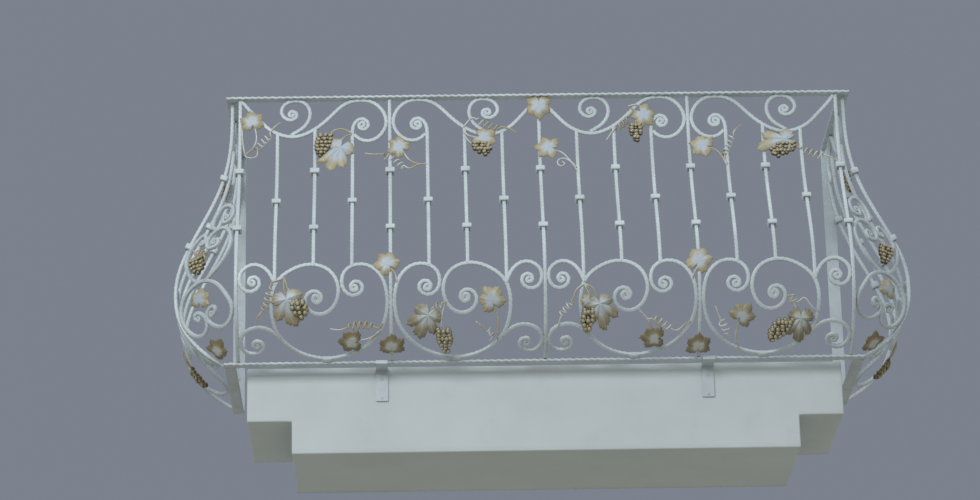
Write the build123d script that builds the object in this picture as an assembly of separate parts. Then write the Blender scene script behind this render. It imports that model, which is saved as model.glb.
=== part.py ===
from build123d import *
from math import cos, radians, sin
import os

# Bellied wrought iron balcony, mm. The wall is the plane Y = 0, the balcony stands out
# along -Y, +Z is up and the origin is the middle of the slab's back face.

# Slab
slab_reach = 480.0            # from the wall to the slab's front face
slab_height = 190.0
slab_gap = 35.0               # clear between the slab and the rails round it
downstand_height = 115.0      # thicker middle part under the slab
downstand_step = 152.0        # its ends, in from the slab's

# Railing grid
bar_pitch = 130.0             # front bars, centre to centre
front_units = 4               # each unit is four bays of the pattern
unit_bays = 4
side_out = 29.0               # the side bars' plane, out from the front corner bar
side_back = 29.0              # the first side bar, back from the front bars' plane
wall_gap = 26.0               # the last side bar's middle, from the wall
rail_clear = 967.0            # between the two rails

# Sections
rail_width = 40.0
rail_thick = 8.0
bar_size = 12.5               # square bars
scroll_wide = 11.0            # scrolls, across the bend
scroll_deep = 13.0            # scrolls, through the railing
collar_width = 31.0
collar_height = 19.0
collar_depth = 26.0
post_width = 42.0             # flat strips screwed to the wall
post_thick = 8.0

# Brackets that carry the bottom rail
bracket_width = 41.0
bracket_thick = 6.0
bracket_drop = 115.0
bracket_lip = 12.0
bracket_place = 555.0         # from the middle, both ways

# Belly: how far out the bars lie, against the drop below the top rail
belly_out = 189.0
belly_shape = [
    (0.0, 0.0),
    (0.176, 0.026),
    (0.31, 0.17),
    (0.434, 0.444),
    (0.558, 0.767),
    (0.662, 0.963),
    (0.75, 1.0),
    (0.838, 0.91),
    (0.91, 0.677),
    (0.962, 0.39),
    (1.0, 0.08),
]                             # shares of the clear height and of belly_out

# Ornament
leaf_thick = 4.0
grape_depth = 26.0
stalk_size = 5.0
stalk_reach = 60.0
corner_share = 0.5 ** 0.5     # the corner fillers lie at 45 degrees to both panels

even_collars = (0.265, 0.525)  # shares of the bent length
odd_collars = (0.400,)

# Steps along a bent bar
turn_step = 44.0              # degrees of bend to each straight piece
run_step = 135.0              # mm, longest straight piece
spare = 30.0                  # bars run on this far, then are cut off at the rails

rail_base = slab_height / 2   # top face of the bottom rail, level with the slab
rail_head = rail_base + rail_clear
touch = (bar_size + scroll_wide) / 2
front_width = front_units * unit_bays * bar_pitch
front_reach = slab_reach + slab_gap + rail_width / 2
side_pitch = (front_reach - side_back - wall_gap) / unit_bays
unit_width = unit_bays * bar_pitch
left_end = -front_width / 2
side_plane = front_width / 2 + side_out
corner_out = side_plane + rail_width / 2
corner_pitch = (side_out + belly_out) / corner_share
slab_width = 2 * (side_plane - rail_width / 2 - slab_gap)
downstand_width = slab_width - 2 * downstand_step
corner_front = front_reach + rail_width / 2


def facet(*corners):
    return Face(Wire.make_polygon(corners, close=True))


class Panel:
    """Railing surface drawn flat: x along the panel, y down the length of the bent bars."""

    def __init__(self, pitch, reach=1.0, fan=False):
        self.pitch = pitch
        self.reach = reach
        self.fan = fan        # the drawing spreads with the gap at the corner
        places = [(out * belly_out * reach, -drop * rail_clear) for drop, out in belly_shape]
        self.profile = Spline(*places, tangents=[(0, -1), (-reach, -0.62)])
        self.length = self.profile.length

    def spot(self, bays, drop, right=0.0, lower=0.0):
        return (bays * self.pitch + right, drop * self.length + lower)

    def surface(self, along, down):
        """Point and outward normal at a place of the flat drawing."""
        inside = min(max(down, 0.0), self.length)
        place = self.profile.position_at(inside, position_mode=PositionMode.LENGTH)
        way = self.profile.tangent_at(inside, position_mode=PositionMode.LENGTH)
        place = place + way * (down - inside)
        if self.fan:
            gap = (side_out + place.X / self.reach) / corner_share
            along = along / self.pitch * gap - place.X
        return Vector(along, -place.X, rail_head + place.Y), Vector(0, way.Y, way.X)

    def on(self, curve, share):
        place = curve.position_at(min(max(share, 0.0), 1.0))
        return self.surface(place.X, place.Y)

    def stations(self, curve):
        """Places along a flat curve, close together where it turns most."""
        count = max(24, int(curve.length / 4))
        points = [self.on(curve, i / count)[0] for i in range(count + 1)]
        kept = [0]
        spent = 0.0
        for i in range(1, count):
            before = points[i] - points[i - 1]
            after = points[i + 1] - points[i]
            spent += before.get_angle(after) / turn_step + after.length / run_step
            if spent >= 1.0:
                kept.append(i)
                spent = 0.0
        if count - kept[-1] < 2 and len(kept) > 1:
            kept.pop()
        kept.append(count)
        return [i / count for i in kept]

    def bent_bar(self, curve, wide, deep, tip=1.0):
        """Bar of square section along a flat curve, wrapped onto the belly in flat facets."""
        rings = []
        for share in self.stations(curve):
            point, normal = self.on(curve, share)
            way = (self.on(curve, share + 0.004)[0] - self.on(curve, share - 0.004)[0]).normalized()
            narrowed = 1.0 - (1.0 - tip) * max(0.0, (share - 0.75) / 0.25)
            across = way.cross(normal).normalized() * wide / 2 * narrowed
            outward = across.cross(way).normalized() * deep / 2
            rings.append([
                point - across - outward,
                point + across - outward,
                point + across + outward,
                point - across + outward,
            ])
        faces = [facet(*rings[0]), facet(*rings[-1])]
        for here, there in zip(rings, rings[1:]):
            for k in range(4):
                turn = (k + 1) % 4
                faces.append(facet(here[k], here[turn], there[turn]))
                faces.append(facet(here[k], there[turn], there[k]))
        return Solid(Shell(faces))

    def scroll(self, *points, tip=0.7):
        return self.bent_bar(Spline(*points), scroll_wide, scroll_deep, tip)

    def bar(self, bay, top, bottom, collars):
        """Upright bar with a square collar at each given share of its length."""
        x = bay * self.pitch
        curve = Line((x, top * self.length), (x, bottom * self.length))
        solid = self.bent_bar(curve, bar_size, bar_size)
        for share in collars:
            point, normal = self.surface(x, share * self.length)
            lay = Plane(point, x_dir=(1, 0, 0), z_dir=normal)
            solid += lay * Box(collar_width, collar_height, collar_depth)
        return solid

    def full_bar(self, bay):
        past = spare / self.length
        return between_rails(self.bar(bay, -past, 1 + past, even_collars))

    def hang(self, solid, x, down):
        """Lay a leaf or cluster on the front of the scrolls."""
        point, normal = self.surface(x, down)
        face = point + normal * scroll_deep / 2
        return Plane(face, x_dir=(1, 0, 0), z_dir=normal) * solid


def between_rails(solid):
    middle = (rail_base + rail_head) / 2
    return solid & Pos(0, 0, middle) * Box(4 * front_width, 4 * front_reach, rail_clear)


def seat(solid, *others):
    """Cut the piece where it meets the ones that carry it."""
    if others:
        solid = solid - list(others)
    return max(solid.solids(), key=lambda part: part.volume)


def wave(panel):
    """Undulating bar under the top rail, from the post to the top of the third bar."""
    spot = panel.spot
    return between_rails(panel.scroll(
        spot(0, 0.012, touch - 2),
        spot(0.50, 0.070),
        spot(1.00, 0.120),
        spot(1.38, 0.132),
        spot(1.75, 0.122),
        spot(2.25, 0.081),
        spot(2.75, 0.023),
        spot(3.25, 0, 0, scroll_wide / 2),
        spot(3.75, 0.033),
        spot(4, 0.080, -touch),
        spot(3.80, 0.120),
        spot(3.48, 0.148),
        spot(3.03, 0.122),
        tip=1.0,
    ))


def trough_scroll(panel):
    spot = panel.spot
    return between_rails(panel.scroll(
        spot(1.36, 0.130),
        spot(1.67, 0.101),
        spot(1.87, 0.053),
        spot(1.66, 0.009),
        spot(1.47, 0, 0, scroll_wide / 2),
        spot(1.13, 0.029),
        spot(1.19, 0.064),
        spot(1.37, 0.072),
        spot(1.515, 0.055),
        spot(1.40, 0.043),
    ))


def top_curl(panel):
    spot = panel.spot
    return panel.scroll(
        spot(3, 0.125),
        spot(3.12, 0.078),
        spot(3.26, 0.0705),
        spot(3.425, 0.092),
        spot(3.255, 0.107),
        spot(3.20, 0.088),
    )


def heart(panel):
    """Half a heart: large lobe, round the bottom and up beside the post, small lobe."""
    spot = panel.spot
    return between_rails(panel.scroll(
        spot(2.06, 0.791),
        spot(2.20, 0.779),
        spot(2.03, 0.755),
        spot(1.785, 0.785),
        spot(2.20, 0.827),
        spot(2.58, 0.789),
        spot(2.645, 0.752),
        spot(2.42, 0.690),
        spot(1.97, 0.668),
        spot(1.47, 0.683),
        spot(1.03, 0.730),
        spot(0.905, 0.800),
        spot(1.07, 0.893),
        spot(1.50, 0.954),
        spot(2.00, 0.986),
        spot(2.30, 1, 0, -scroll_wide / 2),
        spot(2.97, 0.970),
        spot(3.56, 0.909),
        spot(3.82, 0.850),
        spot(4, 0.789, -touch),
        spot(3.79, 0.718),
        spot(3.43, 0.674),
        spot(3.20, 0.669),
        spot(2.80, 0.695),
        spot(2.77, 0.747),
        spot(3.01, 0.769),
        spot(3.26, 0.751),
        spot(3.12, 0.727),
    ))


def upper_cup(panel):
    spot = panel.spot
    return panel.scroll(
        spot(0.98, 0.725),
        spot(0.78, 0.683),
        spot(0.41, 0.667),
        spot(0, 0.712, touch),
        spot(0.28, 0.752),
        spot(0.605, 0.727),
        spot(0.42, 0.708),
        spot(0.335, 0.726),
    )


def lower_cup(panel):
    spot = panel.spot
    return panel.scroll(
        spot(1.10, 0.905),
        spot(0.80, 0.875),
        spot(0.41, 0.871),
        spot(0, 0.920, touch),
        spot(0.31, 0.964),
        spot(0.675, 0.939),
        spot(0.54, 0.917),
        spot(0.42, 0.932),
    )


def corner_scroll(panel):
    """Large scroll that fills the gap between the front and side posts."""
    spot = panel.spot
    return panel.scroll(
        spot(0.35, 0.802),
        spot(0.48, 0.802),
        spot(0.47, 0.845),
        spot(0.28, 0.864),
        spot(0.07, 0.825),
        spot(0.23, 0.728),
        spot(0.56, 0.694),
        spot(0.84, 0.728),
        spot(0.945, 0.815),
        spot(0.80, 0.871),
        spot(0.58, 0.850),
        spot(0.60, 0.805),
        spot(0.72, 0.800),
    )


def corner_arches(panel):
    """The small scrolls that stand on the large one."""
    spot = panel.spot
    left = panel.scroll(
        spot(0.48, 0.698),
        spot(0.22, 0.640),
        spot(0.115, 0.565),
        spot(0.36, 0.504),
        spot(0.58, 0.530),
        spot(0.46, 0.572),
        spot(0.37, 0.555),
    )
    right = panel.scroll(
        spot(0.62, 0.694),
        spot(0.84, 0.635),
        spot(0.93, 0.565),
        spot(0.78, 0.508),
        spot(0.66, 0.530),
    )
    upper = panel.scroll(
        spot(0.42, 0.508),
        spot(0.64, 0.470),
        spot(0.62, 0.425),
        spot(0.42, 0.405),
        spot(0.14, 0.435),
        spot(0.20, 0.480),
        spot(0.36, 0.468),
    )
    return [left + upper, right]


def unit_pieces(panel):
    """One unit of four bays by name of piece, each a list of solids."""
    post = panel.full_bar(0)
    far_post = panel.full_bar(unit_bays)
    bow = seat(wave(panel), post, far_post)
    lobes = seat(heart(panel), far_post)
    bars = [
        seat(panel.bar(1, 0.10, 0.74, odd_collars), bow, lobes),
        seat(panel.bar(2, 0.08, 0.67, even_collars), bow, lobes),
        seat(panel.bar(3, 0.125, 0.68, odd_collars) + top_curl(panel), bow, lobes),
    ]
    cups = [seat(upper_cup(panel), lobes, bars[0], post), seat(lower_cup(panel), lobes, post)]
    curl = seat(trough_scroll(panel), bow, *bars)
    return post, {"bars": bars, "wave": [bow + curl], "heart": [lobes], "cups": cups}


def leaf(width, height, turn=0.0):
    """Five-lobed vine leaf of thin plate, its back on Z = 0 and its middle lobe down."""
    points = []
    for i in range(10):
        angle = radians(36 * i - 90)
        far = 1.0 if i % 2 == 0 else 0.7
        points.append((width / 2 * far * cos(angle), height / 2 * far * sin(angle)))
    return Rot(Z=turn) * extrude(make_face(Polyline(*points, close=True)), leaf_thick)


def grapes(width, height):
    """Hanging six-sided cluster, widest near its top, its back on Z = 0."""
    rings = []
    for level, share in ((0.5, 0.55), (0.15, 1.0), (-0.25, 0.7), (-0.5, 0.2)):
        corners = [
            (width / 2 * share * cos(radians(60 * k)), grape_depth / 2 * share * sin(radians(60 * k)))
            for k in range(6)
        ]
        lay = Plane((0, height * level, grape_depth / 2), x_dir=(1, 0, 0), z_dir=(0, 1, 0))
        rings.append(lay * make_face(Polyline(*corners, close=True)))
    return loft(rings, ruled=True)


def write(name, solids):
    solids = [part for solid in solids for part in solid.solids()]
    export_step(Compound(children=solids) if len(solids) > 1 else solids[0], f"parts/{name}.step")


def box(x0, x1, y0, y1, z0, z1):
    return Pos((x0 + x1) / 2, (y0 + y1) / 2, (z0 + z1) / 2) * Box(x1 - x0, y1 - y0, z1 - z0)


os.makedirs("parts", exist_ok=True)

# Slab and its thicker middle
half_slab = slab_width / 2
half_down = downstand_width / 2
slab_foot = -slab_height / 2
write("slab", [box(-half_slab, half_slab, -slab_reach, 0, slab_foot, rail_base)])
write("downstand", [box(-half_down, half_down, -slab_reach, 0, slab_foot - downstand_height, slab_foot)])

# Rails, posts and brackets
inner_front = corner_front - rail_width
for name, low in (("bottom_rail", rail_base - rail_thick), ("top_rail", rail_head)):
    write(name + "_front", [box(-corner_out, corner_out, -corner_front, -inner_front, low, low + rail_thick)])
    for side, sign in (("left", -1), ("right", 1)):
        ends = sorted((sign * corner_out, sign * (corner_out - rail_width)))
        write(f"{name}_{side}", [box(*ends, -inner_front, 0, low, low + rail_thick)])

under = rail_base - rail_thick
bracket_outline = Polyline(
    (-corner_front, under),
    (-corner_front, under - bracket_thick + bracket_lip),
    (-corner_front - bracket_thick, under - bracket_thick + bracket_lip),
    (-corner_front - bracket_thick, under - bracket_thick),
    (-slab_reach - bracket_thick, under - bracket_thick),
    (-slab_reach - bracket_thick, under - bracket_drop),
    (-slab_reach, under - bracket_drop),
    (-slab_reach, under),
    close=True,
)
bracket = extrude(Plane.YZ * make_face(bracket_outline), bracket_width / 2, both=True)
for side, sign in (("left", -1), ("right", 1)):
    middle = sign * side_plane
    half = post_width / 2
    write(f"wall_post_{side}", [box(middle - half, middle + half, -post_thick, 0, rail_base, rail_head)])
    write(f"bracket_{side}", [Pos(sign * bracket_place, 0, 0) * bracket])

# Front panel: the unit and its mirror image in turn, with a post between units
front = Panel(bar_pitch)
post, pieces = unit_pieces(front)
carriers = []
for index in range(front_units):
    for kind, solids in pieces.items():
        if index % 2:
            shift = Pos(left_end + (index + 1) * unit_width, -front_reach, 0)
            turned = [shift * mirror(solid, about=Plane.YZ) for solid in solids]
        else:
            turned = [Pos(left_end + index * unit_width, -front_reach, 0) * solid for solid in solids]
        write(f"front_{kind}_{index + 1}", turned)
        carriers += turned
for index in range(front_units + 1):
    upright = Pos(left_end + index * unit_width, -front_reach, 0) * post
    write(f"front_post_{index + 1}", [upright])
    carriers.append(upright)

# Side panels: one unit each, turned to face outward, and the corner fillers
side = Panel(side_pitch)
side_post, side_unit = unit_pieces(side)
side_unit["bars"] = [side_post, *side_unit["bars"], side.full_bar(unit_bays)]
corner = Panel(corner_pitch, reach=corner_share, fan=True)
to_side = Pos(side_plane, side_back - front_reach, 0) * Rot(Z=90)
to_corner = Pos(front_width / 2, -front_reach, 0) * Rot(Z=45)
right_post = Pos(front_width / 2, -front_reach, 0) * post
right_pieces = {f"side_{kind}": [to_side * solid for solid in solids] for kind, solids in side_unit.items()}
right_pieces["corner_scroll"] = [
    seat(to_corner * filler, right_post, to_side * side_post)
    for filler in (corner_scroll(corner), *corner_arches(corner))
]
side_carriers = [right_post]
for kind, solids in right_pieces.items():
    write(kind + "_right", solids)
    write(kind + "_left", [mirror(solid, about=Plane.YZ) for solid in solids])
    side_carriers += solids

# Leaves and grapes: bay, share of the bent length, width, height and turn
front_leaves = [
    (0.29, 0.065, 80, 76, 190),
    (2.60, 0.203, 104, 122, -20),
    (4.19, 0.175, 80, 82, 235),
    (6.55, 0.143, 84, 86, 65),
    (8.01, 0.038, 86, 78, 180),
    (8.17, 0.182, 82, 88, 260),
    (10.86, 0.074, 82, 84, 40),
    (12.30, 0.178, 84, 86, 255),
    (14.25, 0.170, 104, 124, -65),
    (1.31, 0.819, 98, 110, 15),
    (3.86, 0.668, 84, 84, 220),
    (2.92, 0.923, 78, 86, 270),
    (4.01, 0.929, 86, 70, 180),
    (4.85, 0.856, 108, 122, -25),
    (6.59, 0.788, 84, 86, 205),
    (9.53, 0.841, 100, 122, 15),
    (10.72, 0.930, 84, 86, 270),
    (12.03, 0.671, 84, 88, 155),
    (11.97, 0.944, 86, 80, 180),
    (13.14, 0.847, 82, 80, 140),
    (14.61, 0.890, 92, 120, -5),
]
front_grapes = [
    (2.21, 0.168, 60, 88),
    (6.46, 0.190, 56, 60),
    (10.60, 0.131, 50, 66),
    (14.51, 0.204, 70, 84),
    (1.60, 0.818, 62, 69),
    (5.34, 0.920, 62, 90),
    (9.07, 0.860, 54, 80),
    (14.09, 0.904, 80, 86),
]

# The same on the side panels and the corner fillers, at mirrored places left and right
side_leaves = [(2.90, 0.800, 70, 60, 0)]
side_grapes = [(1.60, 0.230, 56, 84), (3.05, 0.870, 70, 86)]
corner_leaves = [(0.58, 0.745, 84, 70, 180), (0.60, 0.930, 76, 78, 180)]
corner_grapes = [(0.60, 0.630, 64, 60)]


def boxed(pieces):
    return [(piece, piece.bounding_box()) for piece in pieces]


def near(solid, pieces, reach=0.0):
    """The pieces whose boxes come within reach of the solid's box."""
    ours = solid.bounding_box()
    found = []
    for piece, theirs in pieces:
        lows = zip(tuple(ours.min), tuple(theirs.max))
        highs = zip(tuple(theirs.min), tuple(ours.max))
        if all(low < high + reach for low, high in [*lows, *highs]):
            found.append(piece)
    return found


def fitted(solid, pieces):
    """Held by a stalk to the nearest bar, and cut where it lies on the bars."""
    middle = Vertex(solid.center())
    close = near(solid, pieces, stalk_reach)
    carrier = min(close, key=middle.distance_to)
    start, end = middle.closest_points(carrier)
    way = (end - start).normalized()
    section = Plane(start, z_dir=way) * Rectangle(stalk_size, stalk_size)
    stalk = extrude(section, (end - start).length + stalk_size / 2)
    held = solid + stalk
    return seat(held, *near(held, pieces))


to_front = Pos(left_end, -front_reach, 0)
laid_leaves = []
laid_grapes = []
for bays, drop, *form in front_leaves:
    laid_leaves.append(to_front * front.hang(leaf(*form), bays * front.pitch, drop * front.length))
for bays, drop, *form in front_grapes:
    laid_grapes.append(to_front * front.hang(grapes(*form), bays * front.pitch, drop * front.length))
carriers = boxed(carriers)
leaves = [fitted(solid, carriers) for solid in laid_leaves]
clusters = [fitted(solid, carriers + boxed(leaves)) for solid in laid_grapes]

side_laid_leaves = []
side_laid_grapes = []
for bays, drop, *form in side_leaves:
    laid = side.hang(leaf(*form), bays * side.pitch, drop * side.length)
    side_laid_leaves.append(to_side * laid)
for bays, drop, *form in side_grapes:
    laid = side.hang(grapes(*form), bays * side.pitch, drop * side.length)
    side_laid_grapes.append(to_side * laid)
for bays, drop, *form in corner_leaves:
    laid = corner.hang(leaf(*form), bays * corner.pitch, drop * corner.length)
    side_laid_leaves.append(to_corner * laid)
for bays, drop, *form in corner_grapes:
    laid = corner.hang(grapes(*form), bays * corner.pitch, drop * corner.length)
    side_laid_grapes.append(to_corner * laid)
side_carriers = boxed(side_carriers)
right_leaves = [fitted(solid, side_carriers) for solid in side_laid_leaves]
right_grapes = [fitted(solid, side_carriers + boxed(right_leaves)) for solid in side_laid_grapes]
leaves += right_leaves + [mirror(solid, about=Plane.YZ) for solid in right_leaves]
clusters += right_grapes + [mirror(solid, about=Plane.YZ) for solid in right_grapes]

write("vine_leaves", leaves)
write("grape_clusters", clusters)
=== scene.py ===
import math
import random
import bmesh
import bpy
import numpy as np
from mathutils import Matrix, Vector, noise


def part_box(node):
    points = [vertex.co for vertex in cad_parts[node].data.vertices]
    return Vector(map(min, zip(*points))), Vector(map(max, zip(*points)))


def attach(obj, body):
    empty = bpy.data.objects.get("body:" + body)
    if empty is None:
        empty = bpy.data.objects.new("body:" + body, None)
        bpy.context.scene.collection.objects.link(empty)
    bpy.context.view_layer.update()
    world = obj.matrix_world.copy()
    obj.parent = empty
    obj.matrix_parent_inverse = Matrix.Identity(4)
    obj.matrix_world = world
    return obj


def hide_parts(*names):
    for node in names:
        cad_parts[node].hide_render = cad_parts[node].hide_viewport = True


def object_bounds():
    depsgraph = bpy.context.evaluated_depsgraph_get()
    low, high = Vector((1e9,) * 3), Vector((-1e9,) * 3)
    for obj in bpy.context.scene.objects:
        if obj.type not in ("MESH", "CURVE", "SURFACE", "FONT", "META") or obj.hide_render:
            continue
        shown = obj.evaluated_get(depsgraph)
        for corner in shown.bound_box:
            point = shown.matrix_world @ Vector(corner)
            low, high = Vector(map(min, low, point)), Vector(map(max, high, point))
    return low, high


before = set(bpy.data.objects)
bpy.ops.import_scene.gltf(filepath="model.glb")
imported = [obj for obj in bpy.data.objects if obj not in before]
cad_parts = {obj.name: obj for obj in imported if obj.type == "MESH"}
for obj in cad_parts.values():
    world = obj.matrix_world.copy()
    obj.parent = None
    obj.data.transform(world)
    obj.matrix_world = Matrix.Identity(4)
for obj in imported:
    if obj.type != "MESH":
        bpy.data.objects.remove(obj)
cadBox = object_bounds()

print("frame loaded:", len(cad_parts), "nodes")

mm = 0.001

# sizes of the railing in mm; its lines are drawn flat, as bays along it and shares of the
# bent bars' length down it, and then laid on the belly
railing = {
    "barPitch": 130.0,  # front bars, centre to centre
    "sidePitch": 120.0,
    "frontReach": 535.0,  # wall to the plane of the front bars
    "frontWidth": 2080.0,
    "units": 4,  # the front's, and the bays of each
    "unitBays": 4,
    "sideOut": 29.0,  # corner bar out to the side bars' plane
    "sideBack": 29.0,
    "railBase": 95.0,  # top of the bottom rail
    "railHead": 1062.0,  # underside of the top rail
    "bellyOut": 189.0,
    "barSize": 13.2,
    "scrollWide": 13.4,
    "scrollDeep": 13.0,
    "ringStep": 5.0,  # mm between the rings of a bar
    "edgeRounding": 0.2,  # share of a bar's thinner side
    "tip": 0.62,  # how far a scroll's tip is drawn out
    "cornerTip": 0.6,
    "tipFade": 55.0,  # mm over which a tip narrows
    "postRun": (-0.03, 1.03),  # the posts run on past the rails, then are sawn off
    "bite": 1.0,  # mm that a bar goes into a rail
    "footWay": (-1.0, -0.62),  # the way the bars run at the foot of the belly
}
# shares of the clear height down, and of bellyOut
bellyShape = [
    (0.0, 0.0), (0.176, 0.026), (0.31, 0.17), (0.434, 0.444), (0.558, 0.767), (0.662, 0.963),
    (0.75, 1.0), (0.838, 0.91), (0.91, 0.677), (0.962, 0.39), (1.0, 0.08),
]
railClear = railing["railHead"] - railing["railBase"]
bellySteps = 40  # steps of a smooth line between two given points, on the belly
drawnSteps = 16  # and in the flat drawings


def smoothLine(points, steps, startWay=None, endWay=None):
    # a line through the points that bends without a kink
    points = np.array(points, float)
    gaps = np.linalg.norm(np.diff(points, axis=0), axis=1)
    count = len(points)
    system = np.zeros((count, count))
    right = np.zeros_like(points)
    for i in range(1, count - 1):
        before, after = gaps[i - 1], gaps[i]
        system[i, i - 1:i + 2] = after, 2 * (before + after), before
        slope = after * (points[i] - points[i - 1]) / before + before * (points[i + 1] - points[i]) / after
        right[i] = 3 * slope
    for i, way, near, gap in ((0, startWay, 1, gaps[0]), (count - 1, endWay, count - 2, gaps[-1])):
        if way is None:  # free end
            system[i, i], system[i, near] = 2, 1
            right[i] = 3 * (points[near] - points[i]) / gap * (1 if i == 0 else -1)
        else:
            system[i, i] = 1
            right[i] = way
    ways = np.linalg.solve(system, right)
    t = np.linspace(0, 1, steps, endpoint=False)[:, None]
    parts = []
    for i in range(count - 1):
        a, b, gap = points[i], points[i + 1], gaps[i]
        parts.append((2 * t**3 - 3 * t**2 + 1) * a + (t**3 - 2 * t**2 + t) * gap * ways[i]
                     + (3 * t**2 - 2 * t**3) * b + (t**3 - t**2) * gap * ways[i + 1])
    return np.vstack([*parts, points[-1:]])


def lengths(line):
    return np.concatenate([[0.0], np.cumsum(np.linalg.norm(np.diff(line, axis=0), axis=1))])


def makePanel(pitch, place, reach=1.0):
    out = railing["bellyOut"] * reach
    footWay = np.array(railing["footWay"]) * (reach, 1)
    line = smoothLine([(share * out, -drop * railClear) for drop, share in bellyShape],
                      bellySteps, np.array([0.0, -1.0]), footWay / np.linalg.norm(footWay))
    run = lengths(line)
    way = np.gradient(line, run, axis=0)
    way /= np.linalg.norm(way, axis=1)[:, None]
    way[0] = (0.0, -1.0)
    return {"pitch": pitch, "line": line, "run": run, "way": way, "length": run[-1],
            "place": np.array(place), "reach": reach}


def spread(panel, down):
    # a corner filler's drawing widens with the gap between its two posts
    if panel["reach"] == 1.0:
        return 1.0
    out = np.interp(down, panel["run"], panel["line"][:, 0]) / panel["reach"]
    return (railing["sideOut"] + out) / (railing["sideOut"] + railing["bellyOut"])


def wrap(panel, along, down, height):
    # flat drawing to the belly: along the panel, down the bars, out from the bars' middle
    inside = np.clip(down, 0, panel["length"])
    spare = down - inside
    spot = [np.interp(inside, panel["run"], panel["line"][:, k]) for k in (0, 1)]
    way = [np.interp(inside, panel["run"], panel["way"][:, k]) for k in (0, 1)]
    size = np.hypot(*way)
    wayX, wayY = way[0] / size, way[1] / size
    if panel["reach"] != 1.0:
        along = along * spread(panel, inside) - spot[0]
    y = -(spot[0] + wayX * spare) + wayY * height
    z = railing["railHead"] + spot[1] + wayY * spare + wayX * height
    flat = np.stack([along, y, z], axis=1) * mm
    return flat @ panel["place"][:3, :3].T + panel["place"][:3, 3]


halfWidth = railing["frontWidth"] / 2
frontY = -railing["frontReach"]
atSide = Vector((halfWidth + railing["sideOut"], frontY + railing["sideBack"], 0))
sidePlace = Matrix.Translation(atSide * mm) @ Matrix.Rotation(math.radians(90), 4, "Z")
atCorner = Vector((halfWidth, frontY, 0))
cornerPlace = Matrix.Translation(atCorner * mm) @ Matrix.Rotation(math.radians(45), 4, "Z")
cornerShare = 0.5**0.5  # the corner fillers lie at 45 degrees to both panels
cornerPitch = (railing["sideOut"] + railing["bellyOut"]) * 2**0.5
flipX = Matrix.Scale(-1, 4, (1, 0, 0))
panels = {
    "front": makePanel(railing["barPitch"], Matrix.Translation(Vector((-halfWidth, frontY, 0)) * mm)),
    "right": makePanel(railing["sidePitch"], sidePlace),
    "left": makePanel(railing["sidePitch"], flipX @ sidePlace),
    "cornerRight": makePanel(cornerPitch, cornerPlace, cornerShare),
    "cornerLeft": makePanel(cornerPitch, flipX @ cornerPlace, cornerShare),
}
print("belly", round(panels["front"]["length"], 1), "mm down the bars")


def linked(name, data):
    thing = bpy.data.objects.new(name, data)
    bpy.context.scene.collection.objects.link(thing)
    return thing


def meshOf(name, bm):
    mesh = bpy.data.meshes.new(name)
    bm.to_mesh(mesh)
    bm.free()
    return mesh


def finishPiece(name, bm, material, nodes=()):
    mesh = meshOf(name, bm)
    mesh.polygons.foreach_set("use_smooth", [True] * len(mesh.polygons))
    piece = linked(name, mesh)
    mesh.materials.append(material)
    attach(piece, "root")
    if nodes:
        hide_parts(*nodes)


def joined(parts):
    whole = bmesh.new()
    for part in parts:
        mesh = meshOf("part", part)
        whole.from_mesh(mesh)
        bpy.data.meshes.remove(mesh)
    return whole


def spotsOf(bm):
    return np.array([v.co[:] for v in bm.verts])


def moveTo(bm, spots):
    for vert, spot in zip(bm.verts, spots):
        vert.co = spot
    bmesh.ops.recalc_face_normals(bm, faces=bm.faces)
    return bm


def boxOf(size, middle=(0, 0, 0)):
    bm = bmesh.new()
    bmesh.ops.create_cube(bm, size=1.0)
    bmesh.ops.scale(bm, vec=size, verts=bm.verts)
    bmesh.ops.translate(bm, vec=middle, verts=bm.verts)
    return bm


def edgesAlong(bm, axis, least):
    return [e for e in bm.edges if abs(e.verts[0].co[axis] - e.verts[1].co[axis]) > least]


def turnBy(bm, degrees, axis):
    way = Matrix.Rotation(math.radians(degrees), 3, axis)
    bmesh.ops.rotate(bm, verts=bm.verts, cent=(0, 0, 0), matrix=way)


def roundEdges(bm, edges, size, segments=2):
    bmesh.ops.bevel(bm, geom=edges, offset=size, offset_type="OFFSET", affect="EDGES",
                    segments=segments, profile=0.5, material=-1)


def saw(bm, spot, way, **more):
    geom = [*bm.verts, *bm.edges, *bm.faces]
    bmesh.ops.bisect_plane(bm, geom=geom, plane_co=spot, plane_no=way, **more)


hammering = {
    "pitch": 17.0,  # mm between the blows along an edge
    "depth": 0.19,  # share of the bar's half width
    "shift": 2.1,  # from one edge's blows to the next one's, in radians
    "rough": 0.04,
    "roughPitch": 0.09,
}


def straightBar(wide, deep, length, step):
    bm = boxOf((length, wide, deep), (length / 2, 0, 0))
    roundEdges(bm, edgesAlong(bm, 0, length / 2), min(wide, deep) * railing["edgeRounding"])
    bmesh.ops.subdivide_edges(bm, edges=edgesAlong(bm, 0, length / 2), cuts=max(1, int(length / step)))
    return bm


def hammer(spots, seed):
    # every edge of the bar is dented in turn, so the section changes along it
    x, y, z = spots.T
    corner = (y > 0) * 1 + (z > 0) * 2
    beat = np.cos(2 * math.pi * x / hammering["pitch"] + corner * hammering["shift"] + seed)
    dent = hammering["depth"] * np.clip(beat, 0, 1)
    rough = np.array([noise.noise(Vector((a, k * 7.0 + seed, 0)))
                      for a, k in zip(x * hammering["roughPitch"], corner)])
    factor = np.minimum(1 - dent + hammering["rough"] * rough, 1.0)
    return np.stack([x, y * factor, z * factor], axis=1)


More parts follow.
